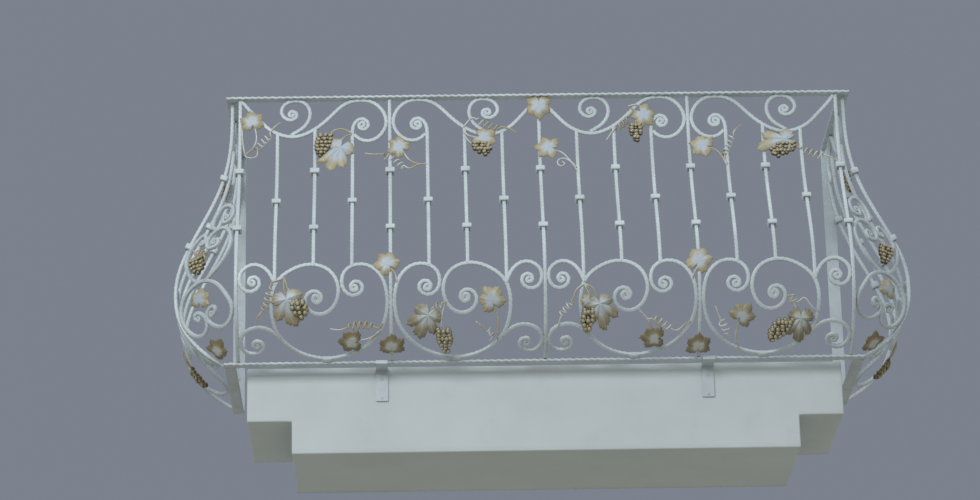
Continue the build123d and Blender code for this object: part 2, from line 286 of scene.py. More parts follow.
def layLine(panel, line, carried=False):
    # a drawn line on the belly, and the ways across it and out of it at each point
    lift = line[:, 2] if line.shape[1] > 2 else np.zeros(len(line))
    centre = wrap(panel, line[:, 0], line[:, 1], lift) / mm
    outward = wrap(panel, line[:, 0], line[:, 1], lift + 1) / mm - centre
    run = lengths(centre)
    way = np.gradient(centre, run, axis=0)
    across = np.cross(way, outward)
    across /= np.linalg.norm(across, axis=1)[:, None]
    if carried:  # for a coil, which turns in and out
        way /= np.linalg.norm(way, axis=1)[:, None]
        for i in range(1, len(across)):
            across[i] = across[i - 1] - way[i] * (across[i - 1] @ way[i])
            across[i] /= np.linalg.norm(across[i])
    outward = np.cross(across, way)
    outward /= np.linalg.norm(outward, axis=1)[:, None]
    return {"run": run, "rows": np.hstack([centre, across, outward])}


def follow(bm, laid, spots, narrow):
    rows = np.stack([np.interp(spots[:, 0], laid["run"], row) for row in laid["rows"].T], axis=1)
    y, z = (spots[:, 1:] * narrow[:, None]).T
    return moveTo(bm, (rows[:, :3] + rows[:, 3:6] * y[:, None] + rows[:, 6:] * z[:, None]) * mm)


def bend(panel, line, wide, deep, seed, tipStart=1.0, tipEnd=1.0):
    laid = layLine(panel, line)
    length = laid["run"][-1]
    bm = straightBar(wide, deep, length, railing["ringStep"])
    spots = hammer(spotsOf(bm), seed)
    fade = railing["tipFade"]
    narrow = np.minimum(tipStart + (1 - tipStart) * np.clip(spots[:, 0] / fade, 0, 1),
                        tipEnd + (1 - tipEnd) * np.clip((length - spots[:, 0]) / fade, 0, 1))
    return follow(bm, laid, spots, narrow)


def betweenRails(bm):
    # the bars are sawn off inside the rails
    bite = railing["bite"]
    for level, up in ((railing["railHead"] + bite, 1), (railing["railBase"] - bite, -1)):
        saw(bm, (0, 0, level * mm), (0, 0, up), clear_outer=True)
        rim = [e for e in bm.edges if e.is_boundary]
        if rim:
            bmesh.ops.holes_fill(bm, edges=rim, sides=0)
    return bm


collar = {
    "wide": 33.0,
    "high": 21.0,
    "deep": 28.0,
    "holeWide": 22.0,
    "holeDeep": 19.0,
    "hollow": 3.0,
    "rounding": 4.2,
    "rim": 1.5,
    "uneven": 0.03,  # no two are quite the same size
    "even": (0.265, 0.525),  # where they sit, in shares of the bent length
    "odd": (0.400,),
}


def collarAt(panel, along, down, seed):
    # a hollow cast cap, closed on top, open below round the bar
    bm = boxOf((collar["wide"], collar["high"], collar["deep"]))
    roundEdges(bm, bm.edges[:], collar["rounding"], 3)
    foot = max(bm.faces, key=lambda f: f.calc_center_median().y)
    bmesh.ops.inset_region(bm, faces=[foot], thickness=collar["rim"])
    size = [max(v.co[k] for v in foot.verts) - min(v.co[k] for v in foot.verts) for k in (0, 2)]
    bmesh.ops.scale(bm, vec=(collar["holeWide"] / size[0], 1, collar["holeDeep"] / size[1]),
                    verts=foot.verts, space=Matrix.Translation(-foot.calc_center_median()))
    deeper = bmesh.ops.extrude_discrete_faces(bm, faces=[foot])["faces"]
    bmesh.ops.translate(bm, vec=(0, -collar["hollow"], 0), verts=deeper[0].verts)
    spots = spotsOf(bm) * (1 + collar["uneven"] * math.sin(seed * 3.7))
    return moveTo(bm, wrap(panel, spots[:, 0] + along, spots[:, 1] + down, spots[:, 2]))


scrolls = {
    # hundredths of a bay, thousandths of the bent bars' length
    "wave": [(4, 4), (25, 37), (50, 70), (75, 101), (100, 120), (125, 130), (150, 131), (175, 122),
             (200, 105), (225, 81), (250, 51), (275, 23), (300, 8.5), (325, 5.2), (350, 10.5),
             (375, 33), (388, 62), (390.5, 85), (380, 120), (358, 144), (338, 149), (318, 141),
             (305, 126)],
    "trough": [(136, 126), (152, 114), (167, 101), (181, 79), (187, 53), (181, 25), (166, 9),
               (147, 5.2), (128, 10.5), (113, 29), (111, 48), (119, 64), (134, 72), (147, 66),
               (151.5, 55), (146, 44), (135.5, 43), (131, 53), (137, 60.5), (142.5, 54)],
    "curl": [(300, 150), (300, 120), (303, 96), (312, 78), (326, 70.5), (338, 78), (342.5, 92),
             (336, 105), (325.5, 107), (317.5, 97), (320, 86), (328, 83), (332.5, 91), (328.5, 96.5)],
    # from the large volute round the foot to the small one
    "heart": [(213, 776), (207, 767), (198.5, 775), (201, 788), (211.5, 791), (220, 779), (216.5, 763),
              (203, 755), (186, 763), (178.5, 785), (185, 808), (200, 823), (220, 827), (242, 815),
              (258, 789), (264.5, 752), (258, 717), (242, 690), (220, 674), (197, 668), (172, 671),
              (147, 683), (123, 702), (103, 730), (93, 765), (90.5, 800), (95, 848), (107, 893),
              (127, 928), (150, 954), (175, 973), (200, 984), (227, 990), (260, 985), (297, 969),
              (330, 943), (356, 909), (376, 871), (387.5, 828), (390.8, 789), (388, 753), (379, 718),
              (364, 692), (343, 674), (320, 669), (297, 676), (280, 695), (273.5, 722), (277, 747),
              (287, 762), (301, 769), (316, 765), (326, 751), (324.5, 735), (315, 726), (303, 728),
              (296.5, 740), (300, 753), (309, 755), (313, 746), (309, 739)],
    "upperCup": [(102, 737), (94, 712), (78, 683), (60, 669), (41, 667), (23, 678), (11, 697),
                 (9.2, 720), (15, 740), (28, 752), (44, 752), (56, 742), (60.5, 727), (56, 713),
                 (45, 707.5), (35, 714), (33.5, 726), (41, 734), (48.5, 729), (46, 721)],
    "lowerCup": [(112, 908), (100, 891), (80, 875), (60, 869), (40, 872), (22, 884), (11, 903),
                 (9.5, 930), (17, 951), (31, 964), (48, 964), (61, 955), (67.5, 939), (64, 924),
                 (54, 917), (44, 921), (42, 932), (49, 941), (56.5, 935), (53, 928)],
}
cornerScrolls = {
    # hundredths of the gap between the two posts, thousandths of the bent length
    "large": [(43, 820), (38, 812), (36, 800), (40, 792), (46, 796), (51, 810), (52, 830), (46, 850),
              (34, 864), (20, 862), (10, 845), (7, 820), (11, 790), (20, 755), (31, 721), (44, 701),
              (58, 694), (72, 704), (84, 728), (92, 765), (95, 805), (93, 845), (87, 865), (76, 872),
              (65, 866), (57, 848), (55, 825), (60, 805), (68, 797), (73, 806), (70, 820)],
    "loop": [(50, 697), (40, 680), (27, 655), (16, 615), (10.5, 570), (16, 530), (27, 507), (41, 502),
             (53, 512), (61, 535), (58, 562), (47, 574), (37, 564), (38, 548), (46, 545)],
    "hook": [(62, 694), (73, 672), (84, 635), (92, 595), (93, 555), (87, 522), (77, 507), (69, 518),
             (67, 538), (74, 545)],
    "upper": [(40, 505), (52, 495), (63, 475), (66, 450), (61, 422), (49, 406), (34, 405), (20, 417),
              (12, 440), (15, 466), (26, 480), (37, 472), (38, 455), (29, 450)],
}


def drawn(points):
    return [(bay / 100, share / 1000) for bay, share in points]


def flatLine(panel, points):
    spots = [(bay * panel["pitch"], share * panel["length"], *lift) for bay, share, *lift in points]
    return smoothLine(spots, drawnSteps)


rolled = {  # a volute's eye
    "first": 8.5,  # mm, its radius
    "last": 4.2,
    "turns": 0.9,
    "step": 1.2,
    "tail": 14,  # points back from the tip that show which way it winds
}


def roll(panel, line):
    # the tip goes on round into a tight eye
    narrow = spread(panel, line[-1, 1])
    tail = line[-rolled["tail"]:] * (narrow, 1)
    first, last = tail[1] - tail[0], tail[-1] - tail[-2]
    side = 1 if first[0] * last[1] - first[1] * last[0] > 0 else -1
    heading = math.atan2(last[1], last[0])
    spot, added, turned = tail[-1], [], 0.0
    wholeTurn = rolled["turns"] * 2 * math.pi
    while turned < wholeTurn:
        radius = rolled["first"] + (rolled["last"] - rolled["first"]) * turned / wholeTurn
        turned += rolled["step"] / radius
        way = heading + side * turned
        spot = spot + rolled["step"] * np.array([math.cos(way), math.sin(way)])
        added.append(spot / (narrow, 1))
    return np.vstack([line, added])


def rollEnds(panel, line, tips):
    if tips.get("tipEnd"):
        line = roll(panel, line)
    if tips.get("tipStart"):
        line = roll(panel, line[::-1])[::-1]
    return line


def bayAt(start, mirrored, bay):
    return start + (railing["unitBays"] - bay if mirrored else bay)


def scrollAt(panel, name, start, mirrored, seed, **tips):
    points = [(bayAt(start, mirrored, bay), share) for bay, share in drawn(scrolls[name])]
    line = rollEnds(panel, flatLine(panel, points), tips)
    return betweenRails(bend(panel, line, railing["scrollWide"], railing["scrollDeep"], seed, **tips))


def uprightAt(panel, bay, top, bottom, collars, seed):
    size = railing["barSize"]
    line = flatLine(panel, [(bay, top), (bay, (top + bottom) / 2), (bay, bottom)])
    parts = [betweenRails(bend(panel, line, size, size, seed))]
    for k, share in enumerate(collars):
        parts.append(collarAt(panel, bay * panel["pitch"], share * panel["length"], seed + k))
    return parts


spacer = {"bay": 2.32, "wide": 32.0, "high": 15.0, "deep": 17.0}


def spacerAt(panel, bay):
    # a short block that holds the foot of the heart off the bottom rail
    bm = straightBar(spacer["wide"], spacer["deep"], spacer["high"], 6.0)
    spots = spotsOf(bm)
    down = panel["length"] - 1 - spots[:, 0]
    return moveTo(bm, wrap(panel, spots[:, 1] + bay * panel["pitch"], down, spots[:, 2]))


# bay: where the bar starts and ends, in shares of the bent length, and its collars
uprights = {1: (0.116, 0.735, "odd"), 2: (0.104, 0.670, "even"), 3: (0.124, 0.676, "odd")}


def makeUnit(panel, start, mirrored, seed):
    def scroll(name, step, **tips):
        return scrollAt(panel, name, start, mirrored, seed + step, **tips)

    tip = railing["tip"]
    bars = []
    for bay, (top, bottom, kind) in uprights.items():
        bars += uprightAt(panel, bayAt(start, mirrored, bay), top, bottom, collar[kind], seed + bay)
    return {
        "bars": joined([*bars, scroll("curl", 4, tipEnd=tip)]),
        "wave": joined([scroll("wave", 5), scroll("trough", 6, tipEnd=tip)]),
        "heart": joined([scroll("heart", 7, tipStart=tip, tipEnd=tip),
                         spacerAt(panel, bayAt(start, mirrored, spacer["bay"]))]),
        "cups": joined([scroll("upperCup", 8, tipEnd=tip), scroll("lowerCup", 9, tipEnd=tip)]),
    }


def feed(tree, value, socket):
    if isinstance(value, bpy.types.NodeSocket):
        tree.links.new(value, socket)
    else:
        socket.default_value = (*value, 1) if isinstance(value, tuple) else value


def ramp(tree, source, stops):
    node = tree.nodes.new("ShaderNodeValToRGB")
    while len(node.color_ramp.elements) < len(stops):
        node.color_ramp.elements.new(0.5)
    for element, (place, colour) in zip(node.color_ramp.elements, stops):
        element.position = place
        element.color = (*colour, 1)
    tree.links.new(source, node.inputs["Fac"])
    return node.outputs["Color"]


def mask(tree, source, low, high, most=1.0):
    return ramp(tree, source, [(low, (0, 0, 0)), (high, (most,) * 3)])


def noiseAt(tree, scale, detail=6.0, roughness=0.6):
    node = tree.nodes.new("ShaderNodeTexNoise")
    node.inputs["Scale"].default_value = scale
    node.inputs["Detail"].default_value = detail
    node.inputs["Roughness"].default_value = roughness
    tree.links.new(tree.nodes["place"].outputs["Object"], node.inputs["Vector"])
    return node.outputs["Fac"]


def mixColours(tree, share, first, second):
    node = tree.nodes.new("ShaderNodeMix")
    node.data_type = "RGBA"
    for value, k in ((share, 0), (first, 6), (second, 7)):  # factor, A and B of a colour mix
        feed(tree, value, node.inputs[k])
    return node.outputs[2]


def startMaterial(name):
    material = bpy.data.materials.new(name)
    material.use_nodes = True
    material.node_tree.nodes.new("ShaderNodeTexCoord").name = "place"
    return material, material.node_tree


def coat(tree, colour, roughness):
    shader = tree.nodes["Principled BSDF"]
    feed(tree, colour, shader.inputs["Base Color"])
    feed(tree, roughness, shader.inputs["Roughness"])
    return shader


def addBump(tree, height, strength, distance):
    bump = tree.nodes.new("ShaderNodeBump")
    bump.inputs["Strength"].default_value = strength
    bump.inputs["Distance"].default_value = distance * mm
    tree.links.new(height, bump.inputs["Height"])
    tree.links.new(bump.outputs["Normal"], tree.nodes["Principled BSDF"].inputs["Normal"])


paint = {
    "white": (0.52, 0.60, 0.64),
    "shade": (0.445, 0.51, 0.55),
    "grime": (0.33, 0.33, 0.30),
    "rust": (0.24, 0.10, 0.04),
}


def whitePaint():
    material, tree = startMaterial("white iron paint")
    broad = ramp(tree, noiseAt(tree, 9.0), [(0.35, paint["shade"]), (0.62, paint["white"])])
    specks = mask(tree, noiseAt(tree, 160.0, 3.0), 0.60, 0.70)
    dirty = mixColours(tree, 0.35, broad, paint["grime"])
    colour = mixColours(tree, specks, broad, dirty)
    chips = mask(tree, noiseAt(tree, 60.0, 5.0, 0.7), 0.735, 0.755)
    roughness = ramp(tree, noiseAt(tree, 45.0), [(0.3, (0.34,) * 3), (0.7, (0.52,) * 3)])
    coat(tree, mixColours(tree, chips, colour, paint["rust"]), roughness)
    addBump(tree, noiseAt(tree, 330.0, 4.0), 0.25, 0.6)
    return material


plasterLook = {
    "light": (0.555, 0.62, 0.645),
    "dark": (0.52, 0.58, 0.60),
    "stain": (0.43, 0.46, 0.46),
}


def plasterPaint():
    material, tree = startMaterial("painted plaster")
    broad = ramp(tree, noiseAt(tree, 3.0),
                 [(0.35, plasterLook["dark"]), (0.65, plasterLook["light"])])
    stains = mask(tree, noiseAt(tree, 7.0, 8.0, 0.7), 0.58, 0.78)
    colour = mixColours(tree, stains, broad, plasterLook["stain"])
    coat(tree, mixColours(tree, 0.75, colour, broad), 0.85)
    addBump(tree, noiseAt(tree, 240.0, 8.0, 0.7), 0.35, 1.2)
    return material


stemLook = {"white": (0.55, 0.58, 0.57), "ochre": (0.43, 0.38, 0.25), "brown": (0.22, 0.16, 0.09)}


def stemPaint():
    material, tree = startMaterial("stem paint")
    colour = ramp(tree, noiseAt(tree, 14.0, 3.0),
                  [(0.42, stemLook["ochre"]), (0.56, stemLook["white"])])
    # random brown patches over the white and ochre, partly the wires' own brown gilt and partly painted
    # shade
    brownGiltAndShade = mask(tree, noiseAt(tree, 90.0, 4.0), 0.58, 0.72, 0.5)
    coat(tree, mixColours(tree, brownGiltAndShade, colour, stemLook["brown"]), 0.45)
    return material


# grey, olive and brown are the leaves' colours in painted shade, low on the belly; brown also tints the rim
leafLook = {
    "centre": (0.42, 0.49, 0.555),
    "middle": (0.41, 0.41, 0.355),
    "edge": (0.375, 0.34, 0.225),
    "grey": (0.47, 0.50, 0.48),
    "olive": (0.27, 0.25, 0.17),
    "brown": (0.20, 0.165, 0.095),
}


def attribute(tree, name):
    node = tree.nodes.new("ShaderNodeAttribute")
    node.attribute_name = name
    return node.outputs["Fac"]


def addScaled(tree, first, scale, second):
    node = tree.nodes.new("ShaderNodeMath")
    node.operation = "MULTIPLY_ADD"
    node.inputs[1].default_value = scale
    tree.links.new(first, node.inputs[0])
    tree.links.new(second, node.inputs[2])
    return node.outputs[0]


def leafPaint():
    # white in the middle, gold brushed on from the rim, white again on the raised veins
    material, tree = startMaterial("gilded leaf paint")
    rim = attribute(tree, "edgeShare")
    brushed = addScaled(tree, noiseAt(tree, 45.0, 4.0), 0.5, rim)
    unshaded = ramp(tree, brushed,
                 [(0.66, leafLook["centre"]), (0.86, leafLook["middle"]), (0.98, leafLook["edge"])])
    # the same leaf paint made darker, as painted shade for the leaves low on the belly
    shadedFoot = ramp(tree, brushed,
                [(0.62, leafLook["grey"]), (0.80, leafLook["olive"]), (1.0, leafLook["brown"])])
    colour = mixColours(tree, attribute(tree, "footShade"), unshaded, shadedFoot)
    dark = mask(tree, noiseAt(tree, 70.0, 4.0), 0.54, 0.72, 0.45)
    colour = mixColours(tree, mixColours(tree, rim, (0, 0, 0), dark), colour, leafLook["brown"])
    raised = mask(tree, attribute(tree, "veinShare"), 0.35, 0.9, 0.55)
    coat(tree, mixColours(tree, raised, colour, leafLook["centre"]), 0.45)
    addBump(tree, noiseAt(tree, 300.0, 4.0), 0.3, 0.6)
    return material


# the berries are gilt on their outer faces and tops, with a painted highlight there and painted shade in
# the gaps and on the back layer
grapeLook = {
    "high": (0.40, 0.37, 0.25),
    "middle": (0.165, 0.135, 0.07),
    "low": (0.06, 0.048, 0.026),
}


def grapePaint():
    material, tree = startMaterial("gilded grape paint with painted light")
    gildLightAndNoise = addScaled(tree, noiseAt(tree, 150.0, 3.0), 0.45, attribute(tree, "gildAndPaintedLight"))
    colour = ramp(tree, gildLightAndNoise,
                  [(0.30, grapeLook["low"]), (0.66, grapeLook["middle"]), (0.98, grapeLook["high"])])
    coat(tree, colour, 0.4).inputs["Metallic"].default_value = 0.2
    addBump(tree, noiseAt(tree, 400.0, 3.0), 0.2, 0.4)
    return material


whiteIron = whitePaint()
stemIron = stemPaint()
plaster = plasterPaint()
gildedLeaf = leafPaint()
gildedGrape = grapePaint()
print("materials made")


def forged(name, bm, *nodes):
    finishPiece(name, bm, whiteIron, nodes)


def postAt(panel, bay, seed):
    return uprightAt(panel, bay, *railing["postRun"], collar["even"], seed)


front = panels["front"]
unitBays = railing["unitBays"]
for unit in range(railing["units"]):
    made = makeUnit(front, unit * unitBays, unit % 2 == 1, unit * 20)
    for kind, bm in made.items():
        forged(f"forged_front_{kind}_{unit + 1}", bm, f"front_{kind}_{unit + 1}")
for post in range(railing["units"] + 1):
    bm = joined(postAt(front, post * unitBays, post * 9))
    forged(f"forged_front_post_{post + 1}", bm, f"front_post_{post + 1}")
print("front panel forged")

for side in ("left", "right"):
    panel = panels[side]
    made = makeUnit(panel, 0, False, 100)
    made["bars"] = joined([made["bars"], *postAt(panel, 0, 110), *postAt(panel, unitBays, 120)])
    for kind, bm in made.items():
        forged(f"forged_side_{kind}_{side}", bm, f"side_{kind}_{side}")
    corner = panels["corner" + side.capitalize()]
    fillers = []
    for k, (name, points) in enumerate(cornerScrolls.items()):
        tips = {"tipEnd": railing["cornerTip"]}
        if name == "large":
            tips["tipStart"] = railing["cornerTip"]
        line = rollEnds(corner, flatLine(corner, drawn(points)), tips)
        fillers.append(bend(corner, line, railing["scrollWide"], railing["scrollDeep"], 130 + k, **tips))
    forged(f"forged_corner_scroll_{side}", joined(fillers), f"corner_scroll_{side}")
print("side panels forged")

rails = {
    "pitch": 24.0,  # mm between the hammer marks on the edge
    "wander": 1.5,  # how far they stray from an even beat, in radians
    "wave": 1.5,  # mm, how deep they are from above
    "edge": 1.0,  # and from the side
    "inner": 0.35,  # how much the inner edge takes of it
    "rough": 0.5,
    "inset": 0.3,
    "rounding": 1.8,
    "step": 4.5,  # mm between the rings
}


def hammeredRail(node):
    low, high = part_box(node)
    size = (high - low) / mm
    lengthwise = 0 if size.x > size.y else 1
    across = 1 - lengthwise
    bm = boxOf(size)
    edges = edgesAlong(bm, lengthwise, size[lengthwise] / 2)
    roundEdges(bm, edges, rails["rounding"])
    edges = edgesAlong(bm, lengthwise, size[lengthwise] / 2)
    bmesh.ops.subdivide_edges(bm, edges=edges, cuts=int(size[lengthwise] / rails["step"]))
    outer = 1 if node.endswith("right") else -1
    for vert in bm.verts:
        x, y = vert.co[lengthwise], vert.co[across]
        side = 1 if y > 0 else -1
        force = 1.0 if side == outer else rails["inner"]
        stray = rails["wander"] * noise.noise(Vector((x * 0.01, side, 0)))
        beat = math.sin(2 * math.pi * x / rails["pitch"] + side * 1.3 + stray)
        rough = rails["rough"] * noise.noise(Vector((x * 0.05, y * 0.2, vert.co.z)))
        vert.co.z += force * rails["wave"] * (beat - 1) + rough - rails["rough"]
        vert.co[across] -= side * (force * rails["edge"] * (1 + beat) * 0.5 + rails["inset"])
    bmesh.ops.scale(bm, vec=(mm,) * 3, verts=bm.verts)
    bmesh.ops.translate(bm, vec=(low + high) / 2, verts=bm.verts)
    return bm


for node in sorted(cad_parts):
    if "rail_" in node:
        forged("hammered_" + node, hammeredRail(node), node)
print("rails hammered")

slabLook = {  # mm
    "rounding": 5.0,
    "grain": 22.0,  # between the cuts that let the faces swell
    "uneven": 1.1,
    "flatBack": 4.0,  # the part at the wall that stays flat
}


def plasteredSlab():
    low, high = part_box("slab")
    downLow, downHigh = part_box("downstand")
    bm = boxOf(high - low, (low + high) / 2)
    for x in (downLow.x, downHigh.x):
        saw(bm, (x, 0, 0), (1, 0, 0))
    under = min(bm.faces, key=lambda f: f.calc_center_median().z + abs(f.calc_center_median().x))
    grown = bmesh.ops.extrude_discrete_faces(bm, faces=[under])["faces"]
    bmesh.ops.translate(bm, vec=(0, 0, downLow.z - downHigh.z), verts=grown[0].verts)
    bmesh.ops.dissolve_limit(bm, angle_limit=0.01, verts=bm.verts, edges=bm.edges)
    sharp = [e for e in bm.edges if len(e.link_faces) == 2 and e.calc_face_angle(0) > 0.5
             and min(v.co.y for v in e.verts) < -mm]  # all but those on the wall
    roundEdges(bm, sharp, slabLook["rounding"] * mm, 3)
    starts = (low.x, low.y, downLow.z)
    for axis in range(3):
        for k in range(1, int((high[axis] - starts[axis]) / (slabLook["grain"] * mm))):
            spot, way = [0, 0, 0], [0, 0, 0]
            spot[axis], way[axis] = starts[axis] + k * slabLook["grain"] * mm, 1
            saw(bm, spot, way)
    bm.normal_update()
    for vert in bm.verts:
        if vert.co.y <= -slabLook["flatBack"] * mm:
            swell = noise.noise(vert.co * 5.0) + 0.6 * noise.noise(vert.co * 17.0)
            vert.co -= vert.normal * (abs(swell) * slabLook["uneven"] * mm)
    return bm


finishPiece("plastered_slab", plasteredSlab(), plaster, ["slab", "downstand"])
print("slab plastered")

flatBars = {"rounding": 1.2, "bracketThick": 6.0}  # mm

for node in ("wall_post_left", "wall_post_right", "bracket_left", "bracket_right"):
    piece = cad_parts[node]
    piece.data.materials.clear()
    piece.data.materials.append(whiteIron)
    rounding = piece.modifiers.new("rounding", "BEVEL")
    rounding.width = flatBars["rounding"] * mm
    rounding.segments = 2

screw = {  # mm
    "wide": 5.4,  # half across, and at the crown
    "crown": 3.4,
    "high": 2.6,
    "rounding": 0.8,
    "out": 0.8,  # its middle, out from the bar
    "bracketUps": (10, 77),  # up from the bracket's foot
    "postDrops": (0.12, 0.5, 0.88),  # shares of the post's height
}


def screwHead(spot):
    bm = bmesh.new()
    bmesh.ops.create_cone(bm, cap_ends=True, segments=16, radius1=screw["wide"] * mm,
                          radius2=screw["crown"] * mm, depth=screw["high"] * mm)
    crown = [e for e in bm.edges if min(v.co.z for v in e.verts) > 0]
    roundEdges(bm, crown, screw["rounding"] * mm)
    turnBy(bm, 90, "X")
    bmesh.ops.translate(bm, vec=spot, verts=bm.verts)
    return bm


heads = []
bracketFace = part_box("slab")[0].y - flatBars["bracketThick"] * mm
for side in ("left", "right"):
    low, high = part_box("bracket_" + side)
    for up in screw["bracketUps"]:
        heads.append(screwHead(((low.x + high.x) / 2, bracketFace - screw["out"] * mm, low.z + up * mm)))
    low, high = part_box("wall_post_" + side)
    for share in screw["postDrops"]:
        up = low.z + (high.z - low.z) * share
        heads.append(screwHead(((low.x + high.x) / 2, low.y - screw["out"] * mm, up)))
forged("screw_heads", joined(heads))
print("screws set")

leaves = {
    "rings": 7,
    "segments": 84,
    "thick": 1.6,
    "lift": 6.0,  # mm from the bars' middle to the lowest part of a leaf
    "uneven": 0.10,
    "growth": (0.88, 1.08),  # no two lobes alike
    "veinWidth": 4.0,  # in degrees at the rim
    "ribs": (0.30, 22.0),  # how often they come across the leaf and along it
    "hollow": 4.0,  # mm, how far a spread leaf sinks between its lobes
    "gold": (0.45, 0.62),  # how wide the gold is, and how much wider on the lobes
    "shadedFoot": (0.78, 0.90),  # where leaves low on the belly get painted shade, as shares of the bent length
}
leafForms = {
    # degrees of the lobes, and the heights in mm: vein, rib, then least and most curl and twist
    "cupped": {"lobes": (0, 57, 119), "vein": 0.5, "rib": 0.35, "curl": (5, 7), "twist": (0.5, 1.5),
               "white": 0.0},
    "spread": {"lobes": (0, 43, 94), "vein": 1.6, "rib": 0.7, "curl": (6, 9), "twist": (1, 3),
               "white": 0.6},
}
# degrees off the middle lobe, percent of its length; the other half mirrors it
leafOutlines = {
    "cupped": [(0, 106), (4, 95), (9, 90), (13, 94), (18, 84), (24, 82), (29, 72), (33, 73), (39, 86),
               (44, 84), (50, 93), (57, 103), (61, 92), (67, 88), (72, 91), (79, 81), (86, 78),
               (91, 69), (95, 70), (101, 84), (107, 83), (113, 92), (119, 100), (124, 88), (131, 84),
               (137, 86), (145, 74), (152, 68), (160, 70), (168, 56), (175, 42), (180, 36)],
    "spread": [(0, 100), (4, 92), (9, 97), (13, 86), (17, 89), (21, 76), (24, 52), (27, 64), (31, 80),
               (36, 78), (43, 91), (48, 81), (54, 83), (60, 68), (65, 60), (69, 36), (73, 46), (80, 60),
               (86, 57), (94, 66), (101, 58), (109, 60), (118, 48), (128, 46), (140, 36), (150, 40),
               (160, 28), (172, 14), (180, 10)],
}
# panel, place as in scrolls, width, height, degrees that its tip is turned to the left from
# up, and the outline where it isn't cupped
leafPlaces = [
    ("front", 31, 73, 80, 78, 10), ("front", 257, 206, 104, 146, 155, "spread"),
    ("front", 420, 174, 80, 84, 55), ("front", 655, 150, 88, 82, -115), ("front", 801, 43, 86, 96, 180),
    ("front", 816, 184, 84, 86, 80), ("front", 1085, 78, 84, 88, -140),
    ("front", 1230, 183, 86, 86, 75), ("front", 1433, 176, 104, 150, 103, "spread"),
    ("front", 138, 807, 114, 132, -165, "spread"), ("front", 387, 665, 84, 84, 40),
    ("front", 290, 917, 80, 82, 90), ("front", 401, 927, 86, 78, 0),
    ("front", 485, 854, 108, 124, 155, "spread"), ("front", 659, 781, 84, 88, 25),
    ("front", 946, 832, 104, 130, -165, "spread"), ("front", 905, 791, 42, 44, 30),
    ("front", 1074, 919, 78, 86, 90), ("front", 1203, 666, 82, 92, -25),
    ("front", 1197, 940, 84, 86, 0), ("front", 1314, 838, 84, 82, -40),
    ("front", 1459, 881, 92, 128, 175, "spread"), ("right", 290, 800, 72, 66, 30),
    ("left", 290, 800, 72, 66, 30), ("cornerRight", 61, 930, 78, 78, 10),
    ("cornerLeft", 55, 927, 80, 78, -10), ("cornerLeft", 56, 750, 94, 72, 10),
    ("cornerRight", 58, 745, 84, 70, -10),
]


def hang(bm, panel, along, down, lift):
    # lays a flat ornament on its panel, a little deeper where the belly is widest
    spots = spotsOf(bm)
    spots = wrap(panel, along + spots[:, 0] / spread(panel, down), down - spots[:, 1], spots[:, 2] + lift)
    low, high = (np.array(v[:]) for v in cadBox)
    clear = 0.4 * mm
    spots = spots + np.maximum(0, low + clear - spots.min(axis=0)) * (1, 1, 0)
    return moveTo(bm, spots - np.maximum(0, spots.max(axis=0) - high + clear) * (1, 0, 0))


def flatSpot(panelName, bay, share):
    panel = panels[panelName]
    return panel, bay / 100 * panel["pitch"], share / 1000 * panel["length"]


